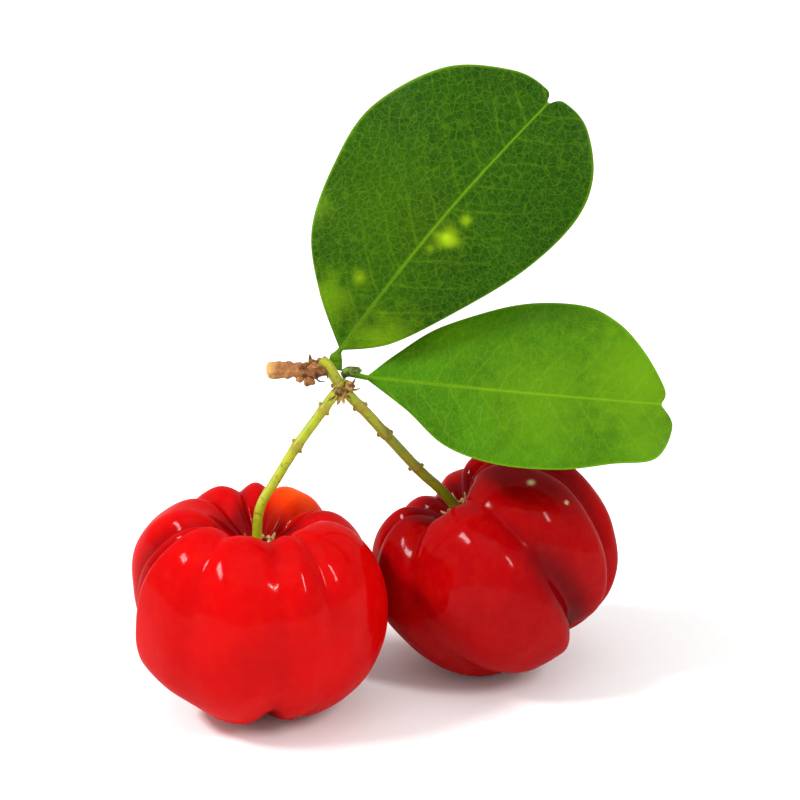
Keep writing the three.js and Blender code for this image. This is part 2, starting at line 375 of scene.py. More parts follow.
def ripe_skin_material(name, tint_and_shade, gloss):
    """Ripe acerola skin: thin, waxy and wet-looking over translucent flesh.

    The eye sees hard bright highlights on a deep red that glows a little where light gets in, with shade
    painted darker into the furrows and the stem hollow.
    """
    fruit = bpy.context.scene.acerola_fruit
    material, tree, output = new_material(name)
    furrow = attribute(tree, "furrow")
    cloud = remap(tree, speckle(tree, 6 * MM, 3.0), 0.35, 0.65, 0.0, 1.0)
    mottle = remap(tree, speckle(tree, 1.1 * MM, 4.0, 0.6), 0.4, 0.7, 0.0, 1.0)
    # Painted shade: the second argument mixes the whole skin towards the shade red, half of it on the right
    # fruit.
    ripe = mix(tree, tint_and_shade, tuple(fruit.ripe), tuple(fruit.shade))
    shaded = mix(tree, cloud, ripe, mix(tree, 0.15, ripe, tuple(fruit.shade)))
    mottled = mix(tree, mottle, shaded, mix(tree, 0.03, shaded, tuple(fruit.blush)))
    # Painted shade: the furrows and the stem hollow are mixed towards the shade red.
    deep = mix(tree, remap(tree, furrow, 0.15, 1.0, 0.0, 0.8), mottled, tuple(fruit.shade))
    blushed = mix(tree, attribute(tree, "blush"), deep, tuple(fruit.blush))
    scarred = mix(tree, attribute(tree, "scar"), blushed, linear("#e9cf9a"))
    roughness = remap(tree, speckle(tree, 2.5 * MM, 3.0), 0.3, 0.7, gloss, gloss + 0.1)
    soft = relief(tree, speckle(tree, 1.8 * MM, 2.0), 0.16 * MM)
    fine = relief(tree, speckle(tree, 0.35 * MM, 2.0), 0.006 * MM, soft)
    skin = add_node(
        tree, "ShaderNodeBsdfPrincipled", None,
        {"IOR": 1.4, "Specular IOR Level": 0.0, "Subsurface Weight": 0.1,
         "Subsurface Scale": 1.0 * MM, "Subsurface Radius": (1.0, 0.05, 0.04),
         "Coat Weight": 0.16, "Coat Roughness": 0.09, "Coat IOR": 1.4},
        {"Base Color": scarred, "Roughness": roughness, "Normal": fine},
    )
    tree.links.new(skin.outputs["BSDF"], output.inputs["Surface"])
    return material


def leaf_blade_material(name, green, sheen_roughness):
    """Living leaf blade: a waxy cuticle over green tissue, netted with pale veins.

    The eye sees a satin green crossed by a fine pale net, paler along the midrib and margin.
    """
    leaf = bpy.context.scene.acerola_leaf
    material, tree, output = new_material(name)
    vein = attribute(tree, "vein")
    pale = attribute(tree, "pale")
    blemish = attribute(tree, "blemish")
    cloud = remap(tree, speckle(tree, 5 * MM, 3.0), 0.3, 0.7, 0.0, 1.0)
    grain = remap(tree, speckle(tree, 0.5 * MM, 3.0, 0.6), 0.3, 0.7, 0.0, 1.0)
    # The finest veins are drawn about twice as wide as they grow, or they would not show.
    net = remap(tree, cells(tree, 0.8 * MM, "DISTANCE_TO_EDGE"), 0.0, 0.09, 1.0, 0.0)
    fine_net = remap(tree, cells(tree, 0.4 * MM, "DISTANCE_TO_EDGE"), 0.0, 0.12, 1.0, 0.0)
    deep = tuple(c * 0.72 for c in green[:3]) + (1.0,)
    tissue = mix(tree, cloud, deep, green)
    tissue = mix(tree, grain, tissue, mix(tree, 0.08, tissue, tuple(leaf.vein)))
    tissue = mix(tree, pale, tissue, mix(tree, 0.55, tissue, linear("#729a08")))
    netted = mix(tree, net, tissue, mix(tree, 0.13, tissue, tuple(leaf.vein)))
    netted = mix(tree, fine_net, netted, mix(tree, 0.08, netted, tuple(leaf.vein)))
    veined = mix(tree, vein, netted, mix(tree, 0.6, netted, tuple(leaf.vein)))
    spotted = mix(tree, blemish, veined, linear("#93b40e"))
    bumps = relief(tree, net, 0.022 * MM)
    bumps = relief(tree, speckle(tree, 0.9 * MM, 2.0), 0.05 * MM, bumps)
    blade = add_node(
        tree, "ShaderNodeBsdfPrincipled", None,
        {"IOR": 1.42, "Specular IOR Level": 0.07, "Roughness": sheen_roughness, "Subsurface Weight": 0.12,
         "Subsurface Scale": 0.5 * MM, "Subsurface Radius": (0.5, 1.0, 0.1)},
        {"Base Color": spotted, "Normal": bumps},
    )
    tree.links.new(blade.outputs["BSDF"], output.inputs["Surface"])
    return material


def stalk_rind_material(name, tint_and_shade):
    """Green rind of a fruit stalk: smooth young epidermis, browning where it ages.

    The eye sees a satin yellow green, streaked lengthwise and flecked with brown.
    """
    wood = bpy.context.scene.acerola_wood
    material, tree, output = new_material(name)
    streak = remap(tree, speckle(tree, 1.4 * MM, 4.0), 0.35, 0.7, 0.0, 1.0)
    fleck = remap(tree, speckle(tree, 0.4 * MM, 3.0), 0.56, 0.7, 0.0, 1.0)
    browned = mix(tree, tint_and_shade, tuple(wood.rind), linear("#7a6a14"))
    streaked = mix(tree, streak, browned, mix(tree, 0.5, browned, linear("#6f8a12")))
    flecked = mix(tree, fleck, streaked, mix(tree, 0.5, streaked, tuple(wood.scar)))
    ringed = mix(tree, attribute(tree, "ring"), flecked, mix(tree, 0.45, flecked, linear("#7c5a20")))
    bumps = relief(tree, speckle(tree, 0.35 * MM, 3.0), 0.03 * MM)
    rind = add_node(
        tree, "ShaderNodeBsdfPrincipled", None,
        {"IOR": 1.42, "Roughness": 0.42},
        {"Base Color": ringed, "Normal": bumps},
    )
    tree.links.new(rind.outputs["BSDF"], output.inputs["Surface"])
    return material


def twig_bark_material():
    """Young bark: dry cork with fine cracks, paler where it was cut.

    The eye sees a matte tan brown, mottled with dark cracks and scars.
    """
    wood = bpy.context.scene.acerola_wood
    material, tree, output = new_material("twig_bark")
    patch = remap(tree, speckle(tree, 0.9 * MM, 4.0, 0.6), 0.38, 0.66, 0.0, 1.0)
    crack = remap(tree, cells(tree, 0.45 * MM, "DISTANCE_TO_EDGE"), 0.0, 0.12, 1.0, 0.0)
    bark = mix(tree, patch, tuple(wood.bark), linear("#a87440"))
    cut = mix(tree, attribute(tree, "cut"), bark, linear("#c79a58"))
    cracked = mix(tree, crack, cut, mix(tree, 0.2, cut, tuple(wood.scar)))
    scarred = mix(tree, attribute(tree, "scar"), cracked, tuple(wood.scar))
    bumps = relief(tree, crack, -0.02 * MM)
    bumps = relief(tree, speckle(tree, 0.25 * MM, 4.0, 0.65), 0.09 * MM, bumps)
    cork = add_node(
        tree, "ShaderNodeBsdfPrincipled", None,
        {"Roughness": 0.85, "IOR": 1.4},
        {"Base Color": scarred, "Normal": bumps},
    )
    tree.links.new(cork.outputs["BSDF"], output.inputs["Surface"])
    return material


def dry_scale_material(name, first, second):
    """Dried sepals, glands and bracts: papery tissue that browned as it withered.

    The eye sees small matte scales between straw and dark brown.
    """
    material, tree, output = new_material(name)
    patch = remap(tree, speckle(tree, 0.5 * MM, 3.0), 0.38, 0.62, 0.0, 1.0)
    bumps = relief(tree, speckle(tree, 0.2 * MM, 3.0), 0.05 * MM)
    scale = add_node(
        tree, "ShaderNodeBsdfPrincipled", None,
        {"Roughness": 0.75, "IOR": 1.4},
        {"Base Color": mix(tree, patch, first, second), "Normal": bumps},
    )
    tree.links.new(scale.outputs["BSDF"], output.inputs["Surface"])
    return material


def studio_card_material(colour):
    """Matte white card: sized paper. The eye sees an even, unshiny white."""
    material, tree, output = new_material("studio_card")
    tone = remap(tree, speckle(tree, 1.0 * MM, 2.0), 0.0, 1.0, 0.97, 1.0)
    card = add_node(
        tree, "ShaderNodeBsdfPrincipled", None,
        {"Roughness": 0.9, "Specular IOR Level": 0.1},
        {"Base Color": mix(tree, tone, (0.0, 0.0, 0.0, 1.0), colour)},
    )
    tree.links.new(card.outputs["BSDF"], output.inputs["Surface"])
    return material


# ---------------------------------------------------------------- fruit

FURROW_STATIONS = (0.15, 0.35, 0.6, 0.85)
FURROW_SOFTNESS = 0.12

# Furrows: azimuth in degrees, half-widths towards smaller and larger azimuths, depths in
# millimetres at four stations from stem to base, and the drift in degrees from stem to base.
# Swells: azimuth, half-width and heights at the same stations.
LEFT_FRUIT = {
    "radius": 12.9, "half_height": 11.2, "fullness": 0.84, "taper": 0.04,
    "hollow_depth": 5.6, "hollow_reach": 4.4, "axis": Vector((0.03, 0.0, 1.0)),
    "furrows": [
        (-77, 22, 20, (0.9, 0.45, 0.65, 1.5), 0), (-163, 22, 9, (0.9, 1.6, 1.9, 1.8), -40),
        (-179, 18, 9, (0.9, 1.3, 1.3, 0.9), -50), (136, 16, 16, (0.9, 0.8, 0.6, 0.5), 0),
        (106, 14, 16, (1.1, 0.9, 0.7, 0.8), 0), (84, 14, 14, (1.0, 0.8, 0.6, 0.6), 0),
        (48, 20, 12, (1.3, 1.1, 0.7, 0.9), 0), (10, 16, 22, (0.9, 0.9, 0.6, 0.8), 10),
        (-54, 12, 14, (0.5, 0.6, 0.3, 0.4), 0), (-119, 16, 14, (0.5, 0.65, 0.15, 0.0), 0),
    ],
    "swells": [(-165, 60, (0, 0, -0.15, -1.5)), (30, 60, (-1.4, -1.1, 0, 0)), (150, 50, (-0.5, -0.2, 0, 0))],
    "blush": (66, 0.22, 17, 0.12),
    "scars": [],
}

RIGHT_FRUIT = {
    "radius": 12.3, "half_height": 10.2, "fullness": 0.86, "taper": 0.03,
    "hollow_depth": 3.6, "hollow_reach": 2.9, "axis": Vector((-0.6, -0.05, 0.8)),
    "furrows": [
        (-58, 22, 26, (0.6, 1.3, 2.4, 2.6), 0), (-10, 18, 12, (0.7, 1.0, 1.4, 1.2), -50),
        (28, 20, 18, (0.9, 0.8, 0.8, 0.8), 0), (70, 18, 20, (1.0, 0.9, 0.8, 0.8), 0),
        (112, 20, 16, (1.0, 0.8, 0.6, 0.7), 0), (150, 16, 16, (1.0, 0.8, 0.6, 0.7), 0),
        (-174, 18, 16, (0.9, 0.7, 0.5, 0.6), 0), (-129, 20, 20, (0.7, 0.5, 0.8, 1.0), 0),
    ],
    "swells": [
        (95, 60, (-0.9, -0.7, 0, 0)), (-176, 50, (1.2, 0.8, -0.4, -0.5)), (0, 60, (0, -0.3, -0.4, 0)),
    ],
    "blush": None,
    "scars": [(-26, 0.27, 2.2, 0.011), (-27, 0.4, 1.1, 0.006)],
}


def turn_between(azimuth, centre):
    """Signed turn in degrees from centre to azimuth."""
    return (azimuth - centre + 180.0) % 360.0 - 180.0


def furrow_depth(fruit, polar, azimuth):
    """How far the furrows cut below the round body in one direction, in millimetres."""
    t = polar / math.pi
    depth = 0.0
    for centre, before, after, depths, drift in fruit["furrows"]:
        turn = turn_between(azimuth, centre + drift * (t - 0.5))
        offset = turn / (before if turn < 0 else after)
        distance = math.hypot(offset, FURROW_SOFTNESS) - FURROW_SOFTNESS
        if distance < 1.0:
            depth += ramp(list(zip(FURROW_STATIONS, depths)), t) * (1.0 - distance) ** 2
    return depth


def swell_height(fruit, polar, azimuth):
    """How far broad lobes stand above the round body, in millimetres."""
    height = 0.0
    for centre, reach, heights in fruit["swells"]:
        share = min(1.0, abs(turn_between(azimuth, centre)) / reach)
        height += ramp(list(zip(FURROW_STATIONS, heights)), polar / math.pi) * (1.0 - share ** 2) ** 2
    return height


def skin_point(fruit, polar, azimuth):
    """A point on the skin in millimetres, stem end up, and how deep it lies in a furrow."""
    sine, cosine = math.sin(polar), math.cos(polar)
    out = fruit["radius"] * max(sine, 0.0) ** fruit["fullness"] * (1.0 + fruit["taper"] * cosine)
    up = fruit["half_height"] * math.copysign(abs(cosine) ** fruit["fullness"], cosine)
    if cosine > 0:
        up -= fruit["hollow_depth"] * math.exp(-((out / fruit["hollow_reach"]) ** 2))
    fade = smoothstep(0.0, 0.3, sine)
    furrow = furrow_depth(fruit, polar, azimuth) * fade
    inset = furrow - swell_height(fruit, polar, azimuth) * fade
    out -= inset * sine
    up -= inset * cosine
    turn = math.radians(azimuth)
    return Vector((out * math.cos(turn), out * math.sin(turn), up)), furrow


def patch_share(polar, azimuth, centre, station, half_width, half_length):
    """1 in the middle of a patch on the skin, fading to 0 at its edge."""
    across = turn_between(azimuth, centre) / half_width
    along = (polar / math.pi - station) / half_length
    return math.exp(-((across ** 2 + along ** 2) ** 1.5))


def make_fruit(name, fruit, material):
    """Shapes one fruit from a ball, furrow by furrow."""
    settings = bpy.context.scene.acerola_fruit
    bm = bmesh.new()
    furrow_shade_layer = bm.verts.layers.float.new("furrow")
    blush_layer = bm.verts.layers.float.new("blush")
    scar_layer = bm.verts.layers.float.new("scar")
    bmesh.ops.create_uvsphere(bm, u_segments=settings.columns, v_segments=settings.rows, radius=1.0)
    lean = UP.rotation_difference(fruit["axis"].normalized())
    for vert in bm.verts:
        polar = math.acos(max(-1.0, min(1.0, vert.co.z)))
        azimuth = math.degrees(math.atan2(vert.co.y, vert.co.x))
        dent = settings.dimple * noise.noise(vert.co * 3.1)
        point, furrow = skin_point(fruit, polar, azimuth)
        # Painted shade for the stem hollow, stored in the same attribute as the furrows' painted shade.
        hollow = 0.9 * smoothstep(0.42, 0.16, polar)
        vert[furrow_shade_layer] = max(hollow, min(1.0, furrow / 2.0))
        if fruit["blush"]:
            vert[blush_layer] = patch_share(polar, azimuth, *fruit["blush"])
        for centre, station, half_width, half_length in fruit["scars"]:
            share = patch_share(polar, azimuth, centre, station, half_width, half_length)
            vert[scar_layer] = max(vert[scar_layer], share)
        vert.co = lean @ (point * MM + vert.co * dent)
    settle(bm, name)
    for vert in bm.verts:
        vert.co.z = max(vert.co.z, 0.0)
    return publish(name + "_skin", bm, [material], [name])


class ACEROLA_OT_fruit(bpy.types.Operator):
    """Model both ripe fruits with their furrowed skin"""

    bl_idname = "acerola.fruit"
    bl_label = "Fruit"

    def execute(self, context):
        bright = ripe_skin_material("ripe_skin_left", 0.06, 0.2)
        make_fruit("fruit_left", LEFT_FRUIT, bright)
        # The right fruit's skin is a shaded copy of the left's, with half the shade red painted over it.
        deep = ripe_skin_material("shaded_ripe_skin_right", 0.5, 0.18)
        make_fruit("fruit_right", RIGHT_FRUIT, deep)
        return {"FINISHED"}


class ACEROLA_OT_calyx(bpy.types.Operator):
    """Model the dried sepals and glands round the foot of each stalk"""

    bl_idname = "acerola.calyx"
    bl_label = "Calyxes"

    SEPALS = 5

    def execute(self, context):
        for side, axis in (("left", LEFT_FRUIT["axis"]), ("right", RIGHT_FRUIT["axis"])):
            bm = bmesh.new()
            lean = UP.rotation_difference(axis.normalized())
            for index in range(self.SEPALS):
                turn = math.tau * index / self.SEPALS + 0.5
                ray = Vector((math.cos(turn), math.sin(turn), 0.0))
                bract(bm, ray * 0.6 - UP * 0.3, ray * 1.6 + UP * 0.75, 0.36, 0.15)
                for step in (-0.28, 0.28):
                    gland = Vector((math.cos(turn + step), math.sin(turn + step), 0.0))
                    lump(bm, gland * 1.0 + UP * 0.05, (0.26, 0.26, 0.34), 0.3, index + step)
            for vert in bm.verts:
                vert.co = lean @ vert.co
            settle(bm, "calyx_" + side)
            scales = dry_scale_material("dried_calyx_" + side, linear("#d9b070"), linear("#6b3d12"))
            publish("calyx_" + side + "_scales", bm, [scales], ["calyx_" + side])
        return {"FINISHED"}


# ---------------------------------------------------------------- stalks

LEFT_STALK = [Vector(p) for p in (
    (7.6, 4.0, 31.3), (6.9, 3.9, 30.4), (5.56, 3.4, 28.6), (3.72, 2.6, 26.2), (1.99, 1.8, 23.5),
    (0.35, 0.8, 20.9), (-0.05, 0.3, 18.4), (0.05, 0.15, 16.4))]
RIGHT_STALK = [Vector(p) for p in (
    (8.6, 4.0, 31.4), (9.3, 4.2, 30.5), (10.6, 4.6, 28.9), (12.43, 5.6, 26.3), (14.3, 7.0, 23.5),
    (16.0, 7.9, 21.2), (17.7, 8.5, 19.3), (19.7, 8.85, 16.7))]
PEDUNCLE = [Vector(p) for p in ((6.2, 4.4, 34.5), (6.8, 4.1, 34.1), (7.4, 3.9, 33.2), (8.0, 3.95, 32.1))]
FORK = Vector((8.1, 4.0, 31.55))


def stalk_girth(thick, thin, rings):
    """Girth of a stalk that thins downwards, with soft rings where bracts once sat."""
    def girth(t, turn):
        swell = sum(rise * math.exp(-(((t - place) / 0.018) ** 2)) for place, rise in rings)
        lean = 1.0 + 0.5 * math.cos(turn - 1.0)
        return thick + (thin - thick) * t + swell * lean + 0.02 * noise.noise(Vector((t * 30, turn, 0)))
    return girth


def make_stalk(name, points, thick, thin, rings, tint_and_shade):
    """One green stalk with the marks of its bracts."""
    bm = bmesh.new()
    rod(bm, points, stalk_girth(thick, thin, rings), 24, 110)
    for place, rise in rings:
        along = (spline(points, place + 0.02) - spline(points, place)).normalized()
        side = along.cross(Vector((0.0, 1.0, 0.0))).normalized()
        for way in (-1, 1):
            foot = spline(points, place + 0.012 * way) + side * way * (thick + 0.06)
            lump(bm, foot, (0.17, 0.2, 0.2), 0.5, place + way)
    ring_layer = bm.verts.layers.float.new("ring")
    for vert in bm.verts:
        for place, rise in rings:
            gap = (vert.co / MM - spline(points, place)).length
            vert[ring_layer] = max(vert[ring_layer], smoothstep(1.1, 0.5, gap) if rise > 0 else 0.0)
    material = stalk_rind_material(name + "_rind", tint_and_shade)
    return publish(name + "_stalk", bm, [material], [name])


class ACEROLA_OT_stalks(bpy.types.Operator):
    """Model the fruit stalks and the peduncle that carries them"""

    bl_idname = "acerola.stalks"
    bl_label = "Stalks"

    def execute(self, context):
        make_stalk("pedicel_left", LEFT_STALK, 0.52, 0.46, [(0.2, 0.06), (0.42, 0.08)], 0.1)
        make_stalk("pedicel_right", RIGHT_STALK, 0.52, 0.52, [(0.22, 0.08), (0.42, 0.1), (0.66, 0.05)], 0.45)
        make_stalk("peduncle", PEDUNCLE, 0.58, 0.53, [(0.9, 0.1)], 0.4)
        return {"FINISHED"}


class ACEROLA_OT_fork(bpy.types.Operator):
    """Model the knob of dried bracts where the fruit stalks part"""

    bl_idname = "acerola.fork"
    bl_label = "Fork"

    # Foot and tip of each bract, from the middle of the fork, with its half-width.
    BRACTS = (
        ((-0.5, -0.4, 0.2), (-1.3, -0.9, -0.7), 0.2), ((-0.2, -0.6, 0.0), (-0.35, -0.95, -1.1), 0.24),
        ((0.2, -0.6, 0.1), (0.3, -1.0, -1.0), 0.22), ((0.5, -0.3, 0.3), (1.0, -0.8, -0.5), 0.2),
        ((0.5, -0.2, 0.7), (1.9, -0.4, 0.4), 0.3), ((0.3, 0.4, 0.4), (1.4, 0.7, 1.0), 0.3),
        ((-0.4, 0.5, 0.1), (-1.0, 1.0, -0.4), 0.22),
    )

    def execute(self, context):
        bm = bmesh.new()
        lump(bm, FORK, (0.78, 0.68, 0.66), 0.3, 2.0)
        lump(bm, FORK + Vector((0.75, -0.2, 0.55)), (0.5, 0.45, 0.5), 0.6, 5.0)
        for foot, tip, width in self.BRACTS:
            bract(bm, FORK + Vector(foot), FORK + Vector(tip), width)
        scales = dry_scale_material("dried_bract", linear("#9a7430"), linear("#4c2f14"))
        publish("fork_bracts", bm, [scales], ["fork"])
        return {"FINISHED"}


# ---------------------------------------------------------------- twig and bud

TWIG = [Vector(p) for p in (
    (0.9, 5.0, 33.2), (2.6, 5.0, 33.3), (4.4, 4.9, 33.3), (5.7, 4.8, 33.5), (7.0, 4.7, 34.0))]
BUD = [Vector(p) for p in ((8.3, 4.7, 33.2), (8.75, 4.5, 33.35), (9.4, 4.4, 33.5), (10.1, 4.3, 33.55))]


# Radius of the twig in millimetres at shares of its length from the cut end.
BARK_STATIONS = [(0.0, 0.35), (0.05, 0.78), (0.2, 0.86), (0.42, 0.74), (0.55, 0.8), (0.8, 0.9), (1.0, 0.62)]


def bark_girth(t, turn):
    """Girth of the twig: a rounded cut end, a waist and a knuckle of scars near the fork."""
    body = ramp(BARK_STATIONS, t)
    rings = 0.06 * math.sin(46 * t) * smoothstep(0.1, 0.3, t)
    grain = 0.13 * noise.noise(Vector((t * 9, math.cos(turn) * 1.6, math.sin(turn) * 1.6)))
    grain += 0.07 * noise.noise(Vector((t * 30, math.cos(turn) * 4, math.sin(turn) * 4)))
    return body + rings + grain


class ACEROLA_OT_twig(bpy.types.Operator):
    """Model the woody twig with its cut end, scars and knuckles"""

    bl_idname = "acerola.twig"
    bl_label = "Twig"

    # Middle, radii, roughness and seed of each knob, in millimetres.
    KNOBS = (
        ((5.0, 4.3, 32.45), (0.55, 0.5, 0.5), 0.5, 1.0),
        ((4.1, 4.3, 32.6), (0.35, 0.35, 0.3), 0.5, 4.0),
        ((4.4, 4.2, 34.0), (0.3, 0.3, 0.28), 0.4, 7.0),
    )
    # Foot, tip, half-width and curl of each scale, in millimetres.
    SCALES = (
        ((5.0, 4.5, 34.0), (5.1, 4.3, 35.2), 0.22, 0.25),
        ((5.3, 4.4, 34.2), (5.9, 4.2, 34.9), 0.2, 0.25),
        ((5.6, 4.2, 33.0), (6.6, 4.0, 32.5), 0.18, 0.25),
        ((5.3, 3.7, 34.1), (6.9, 3.2, 33.0), 0.3, -0.3),
        ((5.4, 3.9, 34.5), (6.8, 3.9, 34.7), 0.26, 0.3),
    )
    KNUCKLE = ((5.5, 4.0, 34.0), (0.5, 0.4, 0.4), 0.6, 11.0)

    def execute(self, context):
        bm = bmesh.new()
        cut_layer = bm.verts.layers.float.new("cut")
        scar_layer = bm.verts.layers.float.new("scar")
        rod(bm, TWIG, bark_girth, 64, 120)
        for centre, radii, roughness, seed in self.KNOBS:
            lump(bm, Vector(centre), radii, roughness, seed)
        for foot, tip, width, curl in self.SCALES:
            bract(bm, Vector(foot), Vector(tip), width, curl)
        centre, radii, roughness, seed = self.KNUCKLE
        lump(bm, Vector(centre), radii, roughness, seed)
        for vert in bm.verts:
            along = vert.co.x / MM
            vert[cut_layer] = smoothstep(2.2, 0.9, along)
            streaks = noise.noise(vert.co / MM * 1.4)
            vert[scar_layer] = smoothstep(0.0, 0.35, streaks) * smoothstep(3.6, 4.6, along)
        publish("twig_bark_piece", bm, [twig_bark_material()], ["twig"])
        return {"FINISHED"}


class ACEROLA_OT_bud(bpy.types.Operator):
    """Model the small green bud beside the lower leaf"""

    bl_idname = "acerola.bud"
    bl_label = "Bud"

    def execute(self, context):
        bm = bmesh.new()
        rod(bm, BUD, lambda t, turn: ramp([(0.0, 0.3), (0.4, 0.46), (0.8, 0.34), (1.0, 0.05)], t), 20, 30)
        tip = BUD[-1]
        bract(bm, Vector((8.9, 4.1, 33.35)), tip + Vector((0.1, -0.1, 0.1)), 0.26, 0.2)
        bract(bm, Vector((8.9, 4.6, 33.6)), tip + Vector((-0.1, 0.1, 0.25)), 0.26, 0.2)
        scales = dry_scale_material("bud_scale", linear("#5f7a16"), linear("#39400f"))
        publish("bud_scales", bm, [scales], ["bud"])
        return {"FINISHED"}


# ---------------------------------------------------------------- leaves

# Margins run from the petiole to the notch at the tip, as (across, along) millimetres.
UPPER_LEAF = {
    "base": Vector((8.08, 5.6, 35.3)), "tip": Vector((28.11, 14.0, 57.46)),
    "facing": Vector((0.0, -0.927, 0.375)),
    "left": ((-0.3, 0), (-5.2, 2.9), (-9.6, 7.0), (-12.0, 13.2), (-12.8, 20.0), (-9.8, 27.2),
             (-4.6, 31.2), (-1.0, 31.9), (-0.12, 31.0)),
    "right": ((0.3, 0), (3.4, 3.4), (6.0, 9.2), (8.6, 16.8), (9.4, 23.6), (8.0, 28.2),
              (4.4, 31.5), (1.2, 32.0), (0.12, 31.0)),
    "vein_bow": -0.6, "fold": 0.06, "curl": -0.012, "arch": 0.9, "ripple": 0.35,
    "petiole": ((7.4, 5.4, 33.2), (7.55, 5.7, 33.9), (7.7, 5.7, 34.5)), "petiole_radius": 0.8,
    "blemishes": ((0.9, 14.7, 0.85, 0.9), (1.3, 17.2, 0.5, 0.5), (-3.0, 6.4, 0.6, 0.4),
                  (0.4, 12.9, 0.4, 0.3)),
    "pale": ((3.2, 2.6, 3.2, 0.9), (-4.2, 2.8, 2.4, 0.8), (-10.6, 9.0, 1.6, 0.5), (-5.0, 13.0, 7.0, 0.15)),
}

LOWER_LEAF = {
    "base": Vector((10.74, 5.0, 32.5)), "tip": Vector((39.1, 3.0, 30.5)),
    "facing": Vector((0.0, -0.72, 0.69)),
    "left": ((-0.3, 0), (-2.8, 2.6), (-5.9, 6.6), (-8.5, 13.0), (-9.5, 19.6), (-8.1, 23.4),
             (-5.2, 26.4), (-1.6, 28.6), (-0.12, 28.4)),
    "right": ((0.3, 0), (3.1, 4.0), (6.4, 8.0), (8.0, 13.4), (7.8, 19.0), (6.7, 24.0),
              (5.6, 28.2), (2.2, 29.6), (0.12, 28.4)),
    "vein_bow": 0.4, "fold": -0.05, "curl": 0.004, "arch": 0.7, "ripple": 0.25,
    "petiole": ((8.2, 5.2, 32.6), (8.75, 5.4, 32.75), (9.7, 5.3, 32.6)), "petiole_radius": 0.38,
    "blemishes": (),
    "pale": ((-2.0, 26.0, 6.0, 0.7), (1.0, 17.0, 6.0, 0.45), (4.5, 27.0, 3.0, 0.5), (-6.0, 8.0, 4.0, 0.2)),
}

VEIN_SPACING = 3.1
VEIN_SLOPE = 0.55
VEIN_BEND = 0.035
VEIN_RELIEF = 0.05


def leaf_axes(leaf):
    """Across, along and outward directions of the leaf's plane."""
    along = (leaf["tip"] - leaf["base"]).normalized()
    across = along.cross(leaf["facing"]).normalized()
    return across, along, across.cross(along)


def on_leaf(leaf, across, along, lift):
    """Leaf-plane millimetres as a point in the sprig's frame, in millimetres."""
    crosswise, lengthwise, outward = leaf_axes(leaf)
    return leaf["base"] + crosswise * across + lengthwise * along + outward * lift


def blade_lift(leaf, across, t):
    """How far the blade stands off its own flat plane."""
    ripple = leaf["ripple"] * math.sin(5 * math.pi * t) * (across / 10) ** 2
    arch = leaf["arch"] * math.sin(math.pi * t)
    return arch + leaf["fold"] * abs(across) + leaf["curl"] * across ** 2 + ripple


def midrib_across(leaf, t):
    """Midrib position across the leaf at t along it."""
    return leaf["vein_bow"] * math.sin(math.pi * t)


def vein_share(leaf, across, along, length):
    """How strongly a point lies on the midrib or on a side vein."""
    t = along / length
    gap = across - midrib_across(leaf, t)
    wobble = 0.35 * noise.noise(Vector((across * 0.5, along * 0.5, 0.0)))
    midrib = math.exp(-((gap / (0.15 - 0.05 * t)) ** 2))
    side = 0.5 if gap > 0 else 0.0
    phase = (along - VEIN_SLOPE * abs(gap) - VEIN_BEND * gap ** 2 + wobble) / VEIN_SPACING + side
    off = (phase - round(phase)) * VEIN_SPACING
    width = 0.13 - 0.006 * abs(gap)
    branch = math.exp(-((off / max(width, 0.05)) ** 2)) * smoothstep(9.5, 3.0, abs(gap)) * 0.25
    return max(midrib, branch)


def spot_share(spots, across, along):
    """Strongest of several round spots at a point of the blade."""
    share = 0.0
    for x, y, radius, strength in spots:
        wobble = 1.0 + 0.5 * noise.noise(Vector((across * 0.9, along * 0.9, 3.0)))
        reach = math.hypot(across - x, along - y) / (radius * wobble)
        share = max(share, strength * math.exp(-reach ** 2))
    return share


def make_leaf(name, leaf, green, roughness, slot):
    """Shapes one leaf: a thin slab bent to the blade's outline, with its midrib and petiole."""
    settings = bpy.context.scene.acerola_leaf
    length = (leaf["tip"] - leaf["base"]).length
    margins = {side: [Vector(p) for p in leaf[side]] for side in ("left", "right")}
    notch = leaf["left"][-1][1]
    bm = bmesh.new()
    layers = {key: bm.verts.layers.float.new(key) for key in ("vein", "pale", "blemish")}
    bmesh.ops.create_grid(bm, x_segments=settings.columns, y_segments=settings.rows, size=1.0)
    raised = bmesh.ops.extrude_face_region(bm, geom=bm.faces[:], use_keep_orig=True)["geom"]
    top = [item for item in raised if isinstance(item, bmesh.types.BMVert)]
    bmesh.ops.translate(bm, verts=top, vec=(0.0, 0.0, 1.0))
    for vert in bm.verts:
        t = (vert.co.y + 1) / 2
        reach = abs(vert.co.x)
        edge = spline(margins["left" if vert.co.x < 0 else "right"], t)
        middle = Vector((midrib_across(leaf, t), t * notch))
        across, along = middle.lerp(edge, reach)
        vein = vein_share(leaf, across, along, length)
        vert[layers["vein"]] = vein
        rim = smoothstep(0.975, 1.0, reach)
        vert[layers["pale"]] = min(1.0, spot_share(leaf["pale"], across, along) + rim)
        vert[layers["blemish"]] = spot_share(leaf["blemishes"], across, along)
        side = vert.co.z - 0.5
        thinning = 1.0 - 0.6 * smoothstep(0.9, 1.0, reach)
        skin = side * settings.thickness / MM * thinning - VEIN_RELIEF * vein * (1.0 if side > 0 else 2.0)
        vert.co = on_leaf(leaf, across, along, blade_lift(leaf, across, along / length) + skin) * MM
    bmesh.ops.recalc_face_normals(bm, faces=bm.faces)
    rib = [Vector(p) for p in leaf["petiole"]]
    for t in (0.02, 0.2, 0.4, 0.6, 0.8, 0.96):
        across = midrib_across(leaf, t)
        rib.append(on_leaf(leaf, across, t * length, blade_lift(leaf, across, t) - 0.12))
    thick = leaf["petiole_radius"]
    girth_stations = [(0.0, thick), (0.2, thick * 0.8), (0.34, 0.26), (1.0, 0.1)]
    rod(bm, rib, lambda t, turn: ramp(girth_stations, t), 14, 140, {"vein": 0.55})
    material = leaf_blade_material(slot + "_blade", green, roughness)
    return publish(name + "_blade", bm, [material], [name])


